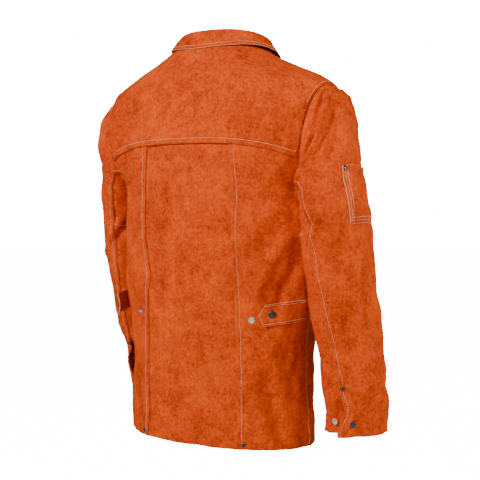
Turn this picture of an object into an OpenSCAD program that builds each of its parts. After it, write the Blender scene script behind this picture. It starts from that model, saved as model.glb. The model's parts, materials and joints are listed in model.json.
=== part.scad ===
// Leather welding jacket: split-leather panels lapped and stitched, press studs and rivets.
// The wearer faces +Y and the wearer's right is +X. The origin is the middle of the neck seam.

/* [Body] */
// Length of the back, from the neck seam to the hem
body_length = 738; // [700:2:780]
// Half the width of the body under the arms
chest_half_w = 207; // [195:1:220]
// Half the depth of the body under the arms
chest_half_d = 119; // [110:1:130]
// Half the width of the body at the waist
waist_half_w = 188; // [180:1:200]
// Half the depth of the body at the waist
waist_half_d = 109; // [100:1:118]
// Half the width of the neck seam
neck_half_w = 84; // [78:1:90]
// Half the depth of the neck seam
neck_half_d = 76; // [70:1:82]
// Squareness of the body's cross-section, 2 is an ellipse
squareness = 2.2; // [2:0.05:2.6]

/* [Armholes] */
// Distance from the middle of the body to the shoulder tip
shoulder_x = 232; // [226:1:240]
// Height of the shoulder tip below the neck seam
shoulder_drop = 92; // [84:1:100]
// Distance from the middle of the body to the underarm
underarm_x = 199; // [194:1:202]
// Depth of the underarm below the neck seam
underarm_drop = 268; // [255:1:280]

/* [Leather] */
// Thickness of the leather
leather = 1.6; // [1.2:0.1:2]
// Air between leathers that lap
lap_air = 0.5; // [0.4:0.1:0.8]
// Width of a lapped seam
lap = 16; // [12:1:22]

/* [Yoke and seams] */
// Depth of the back yoke's edge at the middle of the back
yoke_drop = 185; // [165:1:195]
// How much lower the yoke's edge is at the armholes
yoke_fall = 24; // [10:1:34]
// Half the width of the middle back panel at the yoke
back_seam_x = 105; // [95:1:115]
// How much wider the middle back panel is at the hem, on each side
back_seam_flare = 4; // [0:1:14]

/* [Collar] */
// Height of the collar's stand
stand_h = 20; // [18:1:30]
// Width of the turned-down collar at the middle of the back
fall_w = 31; // [26:1:36]
// Extra width of the collar at its front points
point_w = 24; // [16:1:30]

/* [Fastenings] */
// Diameter of a press stud's cap
cap_d = 13.4; // [12:0.2:15.2]
// Thickness of a press stud's cap
cap_h = 2.6; // [2:0.1:3.2]
// Diameter of a bare stud's plate
plate_d = 11.5; // [10:0.5:12.5]
// Diameter of a rivet's head
rivet_d = 8.6; // [7:0.2:9.6]
// Distance between the front press studs
snap_pitch = 110; // [104:1:116]

/* [Waist tabs] */
// Width of a waist tab
tab_w = 38; // [30:1:44]
// Length of a waist tab
tab_l = 122; // [100:1:130]
// Depth of the waist tabs below the neck seam
tab_drop = 488; // [470:1:510]
// How far the loose left tab stands off the body
left_tab_angle = 20; // [14:1:30]

/* [Sleeve pocket] */
// Height of the pocket on the right sleeve
pocket_h = 102; // [90:1:120]

/* [Hidden] */

hide_colour = [0.66, 0.33, 0.14];
hide_dark = [0.55, 0.26, 0.11];
black = [0.06, 0.06, 0.07];
steel = [0.72, 0.73, 0.75];

layer = leather + lap_air;
in_layer = -layer;
over_layer = layer;
top_layer = 2 * layer;
neck_front_drop = 30;
front_lap = 24;
facing_w = 14.5;
stud_room = 4.6;
flap_top = 150;
left_flap_slope = 0.2;
right_flap_top = 440;
right_flap_slope = 0.34;
flap_gap = 2;
tilt = atan((shoulder_x - underarm_x) / (underarm_drop - shoulder_drop));
side = 90;
yoke_front_z = -125;
yoke_front_t = 140;
first_snap = 106;
sleeve_gap = 1.5;

// Stations down the body: height, half width, half depth, middle in Y. Between the shoulder
// tip and the underarm the half width runs past the armhole, which cuts it off.
BODY = [
    [0, neck_half_w, neck_half_d, 14],
    [-30, neck_half_w + 46, neck_half_d + 13, 10],
    [-60, neck_half_w + 96, neck_half_d + 25, 6],
    [-shoulder_drop, shoulder_x, neck_half_d + 34, 4],
    [-(shoulder_drop + underarm_drop) / 2, shoulder_x + 20, chest_half_d - 4, 4],
    [-underarm_drop, underarm_x, chest_half_d, 4],
    [-345, chest_half_w, chest_half_d, 4],
    [-455, chest_half_w - 9, (chest_half_d + waist_half_d) / 2, 4],
    [-560, waist_half_w, waist_half_d, 4],
    [-660, waist_half_w - 1, waist_half_d, 4],
    [-body_length, waist_half_w + 1, waist_half_d + 1, 4]
];

// Smooth value of column c of table at key k; the keys fall from row to row.
function row_of(table, k, i = 0) =
    i >= len(table) - 2 || k >= table[i + 1][0] ? i : row_of(table, k, i + 1);
function rise(table, i, c) =
    let(p = max(i - 1, 0), q = min(i + 1, len(table) - 1))
    (table[q][c] - table[p][c]) / (table[q][0] - table[p][0]);
function smooth_at(table, k, c) =
    let(
        i = row_of(table, k),
        w = table[i + 1][0] - table[i][0],
        s = (k - table[i][0]) / w
    )
    table[i][c] * (1 + 2 * s) * pow(1 - s, 2) + rise(table, i, c) * w * s * pow(1 - s, 2)
    + table[i + 1][c] * s * s * (3 - 2 * s) + rise(table, i + 1, c) * w * s * s * (s - 1);

function mix(a, b, s) = a + (b - a) * s;
function clamp(x, lo = 0, hi = 1) = min(max(x, lo), hi);
function signed_pow(x, p) = sign(x) * pow(abs(x), p);
function unit(v) = v / norm(v);
function flip(p) = [-p[0], p[1], p[2]];

// Point of the body at angle t from the middle of the back, toward the wearer's right, and
// level z. The neck seam dips to the front, so the levels above the shoulder tips dip with it.
function body_point(t, z) =
    let(
        a = smooth_at(BODY, z, 1),
        b = smooth_at(BODY, z, 2),
        y = smooth_at(BODY, z, 3),
        s = clamp(-z / shoulder_drop)
    )
    [
        a * signed_pow(sin(t), 2 / squareness),
        y - b * signed_pow(cos(t), 2 / squareness),
        z + neck_z(t) * (1 - s * s * (3 - 2 * s))
    ];
function body_normal(t, z) =
    let(
        dt = body_point(t + 2, z) - body_point(t - 2, z),
        zz = clamp(z, -body_length + 3, -3),
        dz = body_point(t, zz + 3) - body_point(t, zz - 3)
    )
    unit(cross(dt, dz));
function on_body(t, z, off) = body_point(t, z) + off * body_normal(t, z);
// Keeps a point of the body inside the plane of the armhole, and just under the arm.
function inside_armhole(p) =
    let(
        over = (abs(p[0]) - armhole_x(p[2])) * cos(tilt),
        room = 0.16 * max(-underarm_drop - p[2], 0)
    )
    p[2] < -underarm_drop - 60 || over <= room ? p
    : p - (over - room) * [sign(p[0]) * cos(tilt), 0, -sin(tilt)];
// Angle on the body at height z where X is x.
function angle_at(x, z) =
    asin(clamp(pow(clamp(x / smooth_at(BODY, z, 1), 0, 1), squareness / 2)));

function armhole_x(z) = underarm_x + (z + underarm_drop) * tan(tilt);
function armhole_angle(z) = angle_at(armhole_x(z), z);
function past_armhole(t, z) = abs(body_point(t, z)[0]) - armhole_x(z);
function armhole_top(t, lo, hi, n = 14) =
    n == 0 ? (lo + hi) / 2
    : past_armhole(t, (lo + hi) / 2) > 0 ? armhole_top(t, (lo + hi) / 2, hi, n - 1)
    : armhole_top(t, lo, (lo + hi) / 2, n - 1);

function back_seam(z) =
    angle_at(back_seam_x + back_seam_flare * clamp((-z - yoke_drop) / (body_length - yoke_drop)), z);
function yoke_z(x) = -yoke_drop - yoke_fall * pow(abs(x) / 208, 2.6);
function neck_z(t) = -neck_front_drop * (1 - cos(t)) / 2;
function yoke_front_angle(z) =
    mix(yoke_front_t, 180 - armhole_angle(yoke_front_z), clamp(z / yoke_front_z));
function yoke_edge(t) =
    let(
        lowest = 180 - armhole_angle(yoke_front_z),
        s = clamp((yoke_front_t - abs(t)) / (yoke_front_t - lowest)),
        z = abs(t) <= 90 ? yoke_z(body_point(t, -yoke_drop)[0]) : yoke_front_z * s
    )
    past_armhole(t, z) > 0 ? armhole_top(t, z, -60) : z;

// Closed sheet between two grids of points, outer first; rows run down, columns run along.
module sheet(outer, inner) {
    rows = len(outer);
    cols = len(outer[0]);
    n = rows * cols;
    points = [
        for (g = [outer, inner])
            for (row = g)
                each row
    ];
    faces = [
        for (r = [0 : rows - 2])
            for (c = [0 : cols - 2])
                let(i = r * cols + c)
                each [
                    [i, i + 1, i + cols], [i + 1, i + cols + 1, i + cols],
                    [n + i, n + i + cols, n + i + 1], [n + i + 1, n + i + cols, n + i + cols + 1]
                ],
        for (c = [0 : cols - 2])
            let(i = c, j = (rows - 1) * cols + c)
            each [
                [i, n + i, i + 1], [i + 1, n + i, n + i + 1],
                [j, j + 1, n + j], [j + 1, n + j + 1, n + j]
            ],
        for (r = [0 : rows - 2])
            let(i = r * cols, j = r * cols + cols - 1, m = i + cols, k = j + cols)
            each [
                [i, m, n + i], [m, n + m, n + i],
                [j, n + j, k], [k, n + j, n + k]
            ]
    ];
    polyhedron(points, faces, convexity = 10);
}

function grid(rows, cols) = [
    for (r = [0 : rows])
        [for (c = [0 : cols]) [c / cols, r / rows]]
];

// Leather on the body: each grid place [u, v] goes to an angle and a height.
module body_sheet(places, off, thick = leather, mirrored = false) {
    function put(q, o) =
        let(p = inside_armhole(on_body(q[0], q[1], o)))
        mirrored ? flip(p) : p;
    outer = [for (row = places) [for (q = row) put(q, off + thick)]];
    inner = [for (row = places) [for (q = row) put(q, off)]];
    if (mirrored)
        sheet(outer, inner);
    else
        sheet(inner, outer);
}

module mirrored_x(on) {
    if (on)
        mirror([1, 0, 0]) children();
    else
        children();
}

// Press stud parts, standing on the plane z = 0 and pointing up.
module snap_cap() {
    color(black) intersection() {
        cylinder(h = cap_h, d = cap_d, $fn = 40);
        translate([0, 0, cap_h - 16]) sphere(r = 16, $fn = 60);
    }
}
module snap_stud() {
    color(steel) {
        cylinder(h = 0.9, d = plate_d, $fn = 36);
        cylinder(h = 2.8, d = 4.2, $fn = 30);
        translate([0, 0, 1.9]) cylinder(h = 1, d = 5, $fn = 30);
    }
}
module rivet() {
    color(black) intersection() {
        cylinder(h = 1.7, d = rivet_d, $fn = 32);
        translate([0, 0, 1.7 - 9]) sphere(r = 9, $fn = 60);
    }
}

// Turns what stands on z = 0 so that it stands at p and points along n.
module stand_at(p, n) {
    translate(p) rotate([0, acos(n[2]), atan2(n[1], n[0])]) children();
}
module on_body_at(t, z, off) {
    stand_at(on_body(t, z, off), body_normal(t, z)) children();
}

// ---- Back ----
module centre_back_panel() {
    color(hide_colour) body_sheet([
        for (row = grid(18, 8)) [
            for (g = row)
                let(
                    x0 = back_seam_x * (2 * g[0] - 1),
                    z = mix(yoke_z(x0) + lap, -body_length, g[1]),
                    t = back_seam(z) + 4
                )
                [mix(-t, t, g[0]), z]
        ]
    ], 0);
}

module side_back(mirrored) {
    color(hide_dark) body_sheet([
        for (row = grid(20, 7)) [
            for (g = row)
                let(
                    x0 = mix(back_seam_x, underarm_x, g[0]),
                    z = mix(yoke_z(x0) + lap, -body_length, g[1]),
                    last = z > -underarm_drop ? armhole_angle(z) : side
                )
                [mix(back_seam(z) - 3, last - 0.4 - 3 * clamp((z + 225) / 12), g[0]), z]
        ]
    ], over_layer, mirrored = mirrored);
}
module right_side_back_panel() { side_back(false); }
module left_side_back_panel() { side_back(true); }

module back_yoke() {
    color(hide_colour) body_sheet([
        for (row = grid(11, 72)) [
            for (g = row)
                let(t = mix(-134, 134, g[0]))
                [t, mix(-1, yoke_edge(t), g[1])]
        ]
    ], top_layer);
}

// ---- Fronts ----
// The fold line runs from the lapping edge, at the flap's top, toward the side seam.
function flap_edge_x(z, right) =
    (right ? right_flap_slope * max(-right_flap_top - z, 0)
    : left_flap_slope * max(-flap_top - z, 0)) - front_lap;
function front_angle(x, z) = x < 0 ? 180 + angle_at(-x, z) : 180 - angle_at(x, z);
// The left front laps over the right one, with room for the studs between them.
function lap_side(right) = right ? -leather - stud_room : 0;

// The fixed part of a front, from the side seam to the line where the front folds open.
function front_start(z) =
    z > yoke_front_z ? yoke_front_angle(z) - 4
    : z > -underarm_drop ? 180 - armhole_angle(z)
    : side;
function front_stop(z, right) = front_angle(flap_edge_x(z, right) + flap_gap / 2, z);
module front_side(right) {
    top = right ? right_flap_top : flap_top;
    upper = [for (r = [0 : 5]) mix(-1, -top, r / 6)];
    lower = [for (r = [0 : 20]) mix(-top, -body_length, r / 20)];
    color(hide_colour) body_sheet([
        for (z = concat(upper, lower)) [
            for (c = [0 : 14])
                [mix(front_start(z) + 0.4, front_stop(z, right), c / 14), z]
        ]
    ], lap_side(right), mirrored = !right);
}
module right_front_side() { front_side(true); }
module left_front_side() { front_side(false); }

// The part of a front that folds open, from that line to the front edge.
module front_flap(right) {
    top = right ? right_flap_top : flap_top;
    color(hide_colour) body_sheet([
        for (row = grid(15, 5)) [
            for (g = row)
                let(
                    z = mix(-top - 16, -body_length, g[1]),
                    t0 = front_angle(flap_edge_x(z, right) - flap_gap / 2, z),
                    t1 = front_angle(-front_lap, z)
                )
                [mix(t0, t1, g[0]), z]
        ]
    ], lap_side(right), mirrored = !right);
}
module right_front_flap() { front_flap(true); }
module left_front_flap() { front_flap(false); }

// Facing strip under a front edge, where the flap is wide enough to carry it.
module front_facing(right) {
    top = right ? right_flap_top + 54 : flap_top + 90;
    color(hide_dark) body_sheet([
        for (row = grid(12, 2)) [
            for (g = row)
                let(
                    z = mix(-top, -body_length + 2, g[1]),
                    t1 = front_angle(2 - front_lap, z),
                    t0 = front_angle(2 - front_lap + facing_w, z)
                )
                [mix(t0, t1, g[0]), z]
        ]
    ], lap_side(right) + in_layer, mirrored = !right);
}
module right_front_facing() { front_facing(true); }
module left_front_facing() { front_facing(false); }

// ---- Collar ----
// Point of the collar: t around the neck, out from the neck seam, up from it.
function collar_point(t, out, up) =
    let(
        p = body_point(t, 0),
        c = [0, BODY[0][3], 0],
        d = unit(p - c)
    )
    [p[0] + d[0] * out, p[1] + d[1] * out, neck_z(t) + up];
collar_end = 171;
module collar_sheet(profile_out, profile_in, reach, steps) {
    function place(profile) = [
        for (q = profile)
            [
                for (c = [0 : steps])
                    let(
                        t = mix(-reach, reach, c / steps),
                        s = pow(abs(t) / 180, 3),
                        side = pow(sin(t), 2)
                    )
                    collar_point(t, q[0] + q[3] * s + q[4] * side, q[1] - q[2] * s + q[5] * side)
            ]
    ];
    sheet(place(profile_out), place(profile_in));
}
// Profiles are [out, up, extra drop and extra out at the front, extra out and rise at the sides].
module collar_stand() {
    color(hide_dark) collar_sheet(
        [[-2.4, 1, 0, 0, 0, 0], [-3.4, stand_h / 2, 0, 0, 0, 0], [-3, stand_h, 4, 0, 0, 0]],
        [[-0.8, 1, 0, 0, 0, 0], [-1.8, stand_h / 2, 0, 0, 0, 0], [-1.4, stand_h, 4, 0, 0, 0]],
        collar_end, 28
    );
}
module collar_fall() {
    w = fall_w;
    color(hide_colour) collar_sheet(
        [
            [-1.2, stand_h + 1.2, 4, 0, 0, 0], [0.6, stand_h + 2.6, 4, 0, 0, 0],
            [5.4, stand_h + 1.6, 5, 1, 2, 0], [10.2, stand_h - w * 0.35, 14, 4, 5, 4],
            [15.4, stand_h - w * 0.97, point_w, 11, 9, 12]
        ],
        [
            [-0.2, stand_h + 0.2, 4, 0, 0, 0], [0.9, stand_h + 1, 4, 0, 0, 0],
            [4.2, stand_h + 0.4, 5, 1, 2, 0], [8.6, stand_h - w * 0.35, 14, 4, 5, 4],
            [13.9, stand_h - w * 0.97 - 0.6, point_w, 11, 9, 12]
        ],
        collar_end - 3, 32
    );
}
module neck_tape() {
    color(hide_dark) collar_sheet(
        [[-4.5, 3, 0, 0, 0, 0], [-4.5, 15, 0, 0, 0, 0]],
        [[-3.9, 3, 0, 0, 0, 0], [-3.9, 15, 0, 0, 0, 0]],
        100, 20
    );
}
module hanger_loop() {
    p = collar_point(0, -8.2, 6);
    color(hide_dark) translate(p) rotate([-90, 0, 0]) translate([0, 0, 0.2]) {
        difference() {
            scale([1, 0.42, 1]) cylinder(h = 6, r = 30, $fn = 60);
            translate([0, 0, -1]) scale([1, 0.42, 1]) cylinder(h = 8, r = 28, $fn = 60);
            translate([-40, -40, -1]) cube([80, 40, 8]);
        }
    }
}

// How far a pocket stands off the leather behind it, at [across, down] its face.
function pocket_bulge(g) = 11 * pow(clamp(sin(180 * g[0])), 0.6) * (1 - pow(g[1], 3));

// ---- Inside pocket, on the left front's fixed part ----
pocket_in_t = 143;
pocket_in_z = -262;
pocket_in_h = 130;
module inside_pocket() {
    function put(g, o) =
        flip(on_body(
            mix(pocket_in_t - 12, pocket_in_t + 12, g[0]),
            pocket_in_z - pocket_in_h * g[1],
            in_layer - 0.9 + o - pocket_bulge(g)
        ));
    color(hide_dark) sheet(
        [for (row = grid(8, 10)) [for (g = row) put(g, leather)]],
        [for (row = grid(8, 10)) [for (g = row) put(g, 0)]]
    );
}
module inside_pocket_rivets() {
    for (t = [pocket_in_t - 15.5, pocket_in_t + 15.5])
        mirror([1, 0, 0]) on_body_at(t, pocket_in_z - 6, -1.2) mirror([0, 0, 1]) rivet();
}

// ---- Sleeves ----
// Stations down a sleeve: place along it, inner X and Z, outer X and Z, middle Y, half depth.
// The left sleeve hangs nearer the body and further forward, and is bent more at the elbow.
function sleeve_table(right) =
    let(
        x = right ? [256, 276, 285, 299, 315, 323, 330, 336, 339, 337]
            : [247, 258, 274, 289, 304, 312, 303, 300, 300, 298],
        y = right ? [0, -6, -14, -22, -28, -26, -20, -10, 0, 7, 12]
            : [0, 8, 18, 30, 44, 58, 74, 92, 110, 124, 138],
        away = right ? 0 : 2,
        up = right ? 0 : 24
    )
    [
        [0, underarm_x, -underarm_drop, shoulder_x, -shoulder_drop, y[0], 72],
        [-1, 204 + away / 5, -273, x[0], -106, y[1], 75],
        [-2, 207 + away / 2, -280, x[1], -138, y[2], 76],
        [-3, 209 + away, -290, x[2], -190, y[3], 76],
        [-4, 210 + away, -306, x[3], -250, y[4], 75],
        [-5, 211 + away, -350, x[4], -320, y[5], 74],
        [-6, 213 + away, -420, x[5], -405, y[6], 71],
        [-7, 221 + away, -500, x[6], -496, y[7], 66],
        [-8, 229 + away, -570 + up / 2, x[7], -570 + up / 2, y[8], 61],
        [-9, 233 + away, -635 + up, x[8], -635 + up, y[9], 59],
        [-10, 235 + away, -698 + up, x[9], -698 + up, y[10], 56]
    ];
RIGHT = sleeve_table(true);
LEFT = sleeve_table(false);
elbow_v = 5.1;
vent_v = 8.65;

// Point of a sleeve (drawn on the right) at v along it and angle q around: 0 is the back,
// 90 the outer side, 180 the front. The first ring is the armhole itself.
function sleeve_point(table, v, q) =
    let(
        k = -v,
        inner = [smooth_at(table, k, 1), smooth_at(table, k, 5), smooth_at(table, k, 2)],
        outer = [smooth_at(table, k, 3), smooth_at(table, k, 5), smooth_at(table, k, 4)],
        d = smooth_at(table, k, 6),
        s = signed_pow(sin(q), 2 / 2.1),
        c = signed_pow(cos(q), 2 / 2.1),
        m = (inner + outer) / 2 + (outer - inner) / 2 * s + [0, -d * c, 0],
        h = clamp(m[2], -underarm_drop, -shoulder_drop),
        a = smooth_at(BODY, h, 1),
        part = 1 - pow(clamp(armhole_x(h) / a), squareness),
        deep = smooth_at(BODY, h, 2) * pow(clamp(part), 1 / squareness),
        ring = [m[0], smooth_at(BODY, h, 3) - sign(c) * deep, m[2]]
    )
    mix(ring, m, clamp(v / 1.5));
function sleeve_normal(table, v, q) =
    let(
        dq = sleeve_point(table, v, q + 4) - sleeve_point(table, v, q - 4),
        w = clamp(v, 0.35, 9.9),
        dv = sleeve_point(table, w - 0.1, q) - sleeve_point(table, w + 0.1, q)
    )
    unit(cross(dq, dv));
function on_sleeve(table, v, q, off) =
    sleeve_point(table, v, q) + off * sleeve_normal(table, v, q);
clear_of_body = [cos(tilt), 0, -sin(tilt)] * sleeve_gap;

module sleeve_sheet(right, places, off, thick = leather) {
    table = right ? RIGHT : LEFT;
    function put(q, o) =
        let(p = on_sleeve(table, q[1], q[0], o) + clear_of_body)
        let(b = (p - [underarm_x, 0, -underarm_drop]) * [cos(tilt), 0, -sin(tilt)])
        let(r = b < sleeve_gap ? p + (sleeve_gap - b) * [cos(tilt), 0, -sin(tilt)] : p)
        right ? r : flip(r);
    outer = [for (row = places) [for (q = row) put(q, off + thick)]];
    inner = [for (row = places) [for (q = row) put(q, off)]];
    if (right)
        sheet(inner, outer);
    else
        sheet(outer, inner);
}
module on_sleeve_at(right, v, q, off) {
    table = right ? RIGHT : LEFT;
    mirrored_x(!right)
        stand_at(on_sleeve(table, v, q, off) + clear_of_body, sleeve_normal(table, v, q))
            children();
}

// Where the two seams of a sleeve lie.
function back_line(v) = mix(-38, 12, clamp(v / 10)) + 6 * sin(18 * v);
function front_line(v) = mix(212, 196, clamp(v / 10));

module top_sleeve(right) {
    color(hide_colour) sleeve_sheet(right, [
        for (row = grid(26, 24)) [
            for (g = row)
                let(v = 10 * g[1])
                [mix(back_line(v) - 3, front_line(v) + 3, g[0]), v]
        ]
    ], over_layer);
}
module under_sleeve(right, v0, v1, rows, off) {
    color(hide_dark) sleeve_sheet(right, [
        for (row = grid(rows, 16)) [
            for (g = row)
                let(v = mix(v0, v1, g[1]))
                [mix(front_line(v) - 5, 360 + back_line(v) + 5, g[0]), v]
        ]
    ], off);
}
module right_top_sleeve() { top_sleeve(true); }
module left_top_sleeve() { top_sleeve(false); }
module right_under_sleeve_upper() { under_sleeve(true, 0, elbow_v - 0.1, 14, 0); }
module left_under_sleeve_upper() { under_sleeve(false, 0, elbow_v - 0.1, 14, 0); }
module right_under_sleeve_lower() { under_sleeve(true, elbow_v - 0.06, 10, 12, 0); }
module left_under_sleeve_lower() { under_sleeve(false, elbow_v - 0.06, 10, 12, 0); }

module cuff_facing(right) {
    color(hide_dark) sleeve_sheet(right, [
        for (row = grid(2, 26)) [
            for (g = row)
                [mix(30, 330, g[0]), mix(9.55, 9.98, g[1])]
        ]
    ], in_layer - 0.9);
}
module right_cuff_facing() { cuff_facing(true); }
module left_cuff_facing() { cuff_facing(false); }

cuff_snap_v = 9.62;
module cuff_cap(right) {
    on_sleeve_at(right, cuff_snap_v, back_line(10) + 14, over_layer + leather + 0.1) snap_cap();
}
module cuff_stud(right) {
    on_sleeve_at(right, cuff_snap_v, back_line(10) - 24, leather + 0.1) snap_stud();
}
module vent_rivet(right) {
    on_sleeve_at(right, vent_v, back_line(9) + 1, over_layer + leather + 0.1) rivet();
}
module right_cuff_cap() { cuff_cap(true); }
module left_cuff_cap() { cuff_cap(false); }
module right_cuff_stud() { cuff_stud(true); }
module left_cuff_stud() { cuff_stud(false); }
module right_vent_rivet() { vent_rivet(true); }
module left_vent_rivet() { vent_rivet(false); }

// Pocket on the outer side of the right upper arm: bulges between its stitched edges.
pocket_v0 = 3.65;
pocket_v1 = pocket_v0 + pocket_h / 72;
pocket_q0 = 62;
pocket_q1 = 124;
module sleeve_pocket() {
    function put(g, o) =
        on_sleeve(
            RIGHT,
            mix(pocket_v0, pocket_v1, g[1]),
            mix(pocket_q0, pocket_q1, g[0]),
            over_layer + layer + o + pocket_bulge(g)
        ) + clear_of_body;
    color(hide_colour) sheet(
        [for (row = grid(8, 12)) [for (g = row) put(g, 0)]],
        [for (row = grid(8, 12)) [for (g = row) put(g, leather)]]
    );
}
module sleeve_pocket_rivets() {
    for (q = [pocket_q0 - 5, pocket_q1 + 5])
        on_sleeve_at(true, pocket_v0 + 0.06, q, over_layer + leather + 0.1) rivet();
}

// ---- Waist ----
// A tab is sewn near the side seam and reaches toward the back. q is the distance from its
// sewn end, w the height within it; its free end has clipped corners.
tab_root_t = 84;
tab_z = -tab_drop;
tab_rise = 5;
tab_clip = 11;
tab_off = top_layer + 0.6;
tab_root = on_body(tab_root_t, tab_z, tab_off);
function tab_angle(s) = tab_root_t - s * tab_span;
tab_span = tab_l / 3.05;
module tab(mirrored, angle) {
    function put(u, w, o) =
        let(
            t = tab_angle(u * (1 - tab_clip / tab_l * pow(abs(2 * w - 1), 1.5))),
            z = tab_z + tab_w * (0.5 - w) + tab_rise * (1 - 2 * u)
        )
        on_body(t, z, tab_off + o);
    color(hide_colour)
        mirrored_x(mirrored) turned_tab(angle) sheet(
            [for (row = grid(8, 10)) [for (g = row) put(g[0], g[1], 0)]],
            [for (row = grid(8, 10)) [for (g = row) put(g[0], g[1], leather)]]
        );
}
module turned_tab(angle) {
    translate(tab_root) rotate([0, 0, angle]) translate(-tab_root) children();
}
module right_waist_tab() { tab(false, 0); }
module left_waist_tab() { tab(true, left_tab_angle); }
module tab_cap(mirrored, angle) {
    mirrored_x(mirrored) turned_tab(angle)
        on_body_at(tab_angle(0.79), tab_z - 1, tab_off + leather + 0.1) snap_cap();
}
module right_tab_cap() { tab_cap(false, 0); }
module left_tab_cap() { tab_cap(true, left_tab_angle); }
module waist_studs(mirrored) {
    mirrored_x(mirrored)
        on_body_at(tab_angle(1.13), tab_z - 13, over_layer + leather + 0.1) snap_stud();
}
module right_waist_studs() { waist_studs(false); }
module left_waist_studs() { waist_studs(true); }

module hem_rivets() {
    for (m = [false, true])
        mirrored_x(m)
            on_body_at(back_seam(-body_length) + 1, 9 - body_length, over_layer + leather + 0.1)
                rivet();
}

// ---- Front press studs, counted down from the collar ----
module front_snap(i) {
    lift = i == 0 ? 14 : 0;
    on_body_at(180, lift - first_snap - i * snap_pitch, 0) children();
}
module front_caps(list) {
    for (i = list)
        front_snap(i) translate([0, 0, leather + 0.1]) snap_cap();
}
module front_studs(list) {
    for (i = list)
        front_snap(i) translate([0, 0, 0.1 - stud_room]) snap_stud();
}
module top_snap_caps() { front_caps([0 : 1]); }
module front_snap_caps() { front_caps([2 : 5]); }
module chest_snap_studs() { front_studs([0 : 3]); }
module flap_snap_studs() { front_studs([4 : 5]); }

centre_back_panel();
right_side_back_panel();
left_side_back_panel();
back_yoke();
right_front_side();
left_front_side();
right_front_flap();
left_front_flap();
right_front_facing();
left_front_facing();
collar_stand();
collar_fall();
neck_tape();
hanger_loop();
inside_pocket();
inside_pocket_rivets();
right_top_sleeve();
right_under_sleeve_upper();
right_under_sleeve_lower();
left_top_sleeve();
left_under_sleeve_upper();
left_under_sleeve_lower();
right_cuff_facing();
left_cuff_facing();
right_cuff_cap();
left_cuff_cap();
right_cuff_stud();
left_cuff_stud();
right_vent_rivet();
left_vent_rivet();
sleeve_pocket();
sleeve_pocket_rivets();
right_waist_tab();
left_waist_tab();
right_tab_cap();
left_tab_cap();
right_waist_studs();
left_waist_studs();
hem_rivets();
front_snap_caps();
top_snap_caps();
chest_snap_studs();
flap_snap_studs();
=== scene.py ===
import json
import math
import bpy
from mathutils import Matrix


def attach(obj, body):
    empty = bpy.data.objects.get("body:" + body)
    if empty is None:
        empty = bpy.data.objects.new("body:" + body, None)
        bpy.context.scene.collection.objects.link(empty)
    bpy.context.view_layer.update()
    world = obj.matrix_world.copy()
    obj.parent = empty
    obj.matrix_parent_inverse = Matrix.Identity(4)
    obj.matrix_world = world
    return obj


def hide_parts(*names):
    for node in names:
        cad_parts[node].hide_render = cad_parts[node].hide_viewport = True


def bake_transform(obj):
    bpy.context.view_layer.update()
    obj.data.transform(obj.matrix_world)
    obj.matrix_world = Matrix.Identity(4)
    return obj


bl_info = {
    "name": "Leather Welding Jacket",
    "version": (1, 0, 0),
    "blender": (4, 5, 0),
    "location": "View3D > Sidebar > Jacket",
    "description": "Builds a stitched split-leather welding jacket on its measured frame",
    "category": "Add Mesh",
}

import bmesh
import bpy
import numpy as np
from mathutils import Matrix, Vector

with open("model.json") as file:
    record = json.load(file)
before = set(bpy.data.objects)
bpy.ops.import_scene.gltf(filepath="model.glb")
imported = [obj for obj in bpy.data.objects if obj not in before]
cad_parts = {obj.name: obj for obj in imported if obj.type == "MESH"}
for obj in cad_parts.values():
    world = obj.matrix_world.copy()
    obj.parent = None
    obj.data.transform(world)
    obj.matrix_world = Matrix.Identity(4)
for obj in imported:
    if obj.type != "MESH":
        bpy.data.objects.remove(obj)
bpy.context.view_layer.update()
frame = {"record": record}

# ---- Sizes, in millimetres and degrees, as in the frame ----
BODY_LENGTH = 738
SHOULDER_X, SHOULDER_DROP = 232, 92
UNDERARM_X, UNDERARM_DROP = 199, 268
SQUARENESS = 2.2
LEATHER = 1.6
LAYER = LEATHER + 0.5
TILT = math.atan((SHOULDER_X - UNDERARM_X) / (UNDERARM_DROP - SHOULDER_DROP))
OUTWARD = np.array([math.cos(TILT), 0, -math.sin(TILT)])
BACK_SEAM_X, BACK_SEAM_FLARE = 105, 4
YOKE_DROP, YOKE_FALL = 185, 24
YOKE_FRONT_Z, YOKE_FRONT_T = -125, 140
YOKE_END_T = 134
NECK_DIP = 30
FRONT_LAP = 24
LOW_FRONT = -LEATHER - 4.6

# Height, half width, half depth, middle in Y.
BODY = np.array([
    [0, 84, 76, 14],
    [-30, 130, 89, 10],
    [-60, 180, 101, 6],
    [-SHOULDER_DROP, SHOULDER_X, 110, 4],
    [-180, SHOULDER_X + 20, 115, 4],
    [-UNDERARM_DROP, UNDERARM_X, 119, 4],
    [-345, 207, 119, 4],
    [-455, 198, 114, 4],
    [-560, 188, 109, 4],
    [-660, 187, 109, 4],
    [-BODY_LENGTH, 189, 110, 4],
], float)


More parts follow.
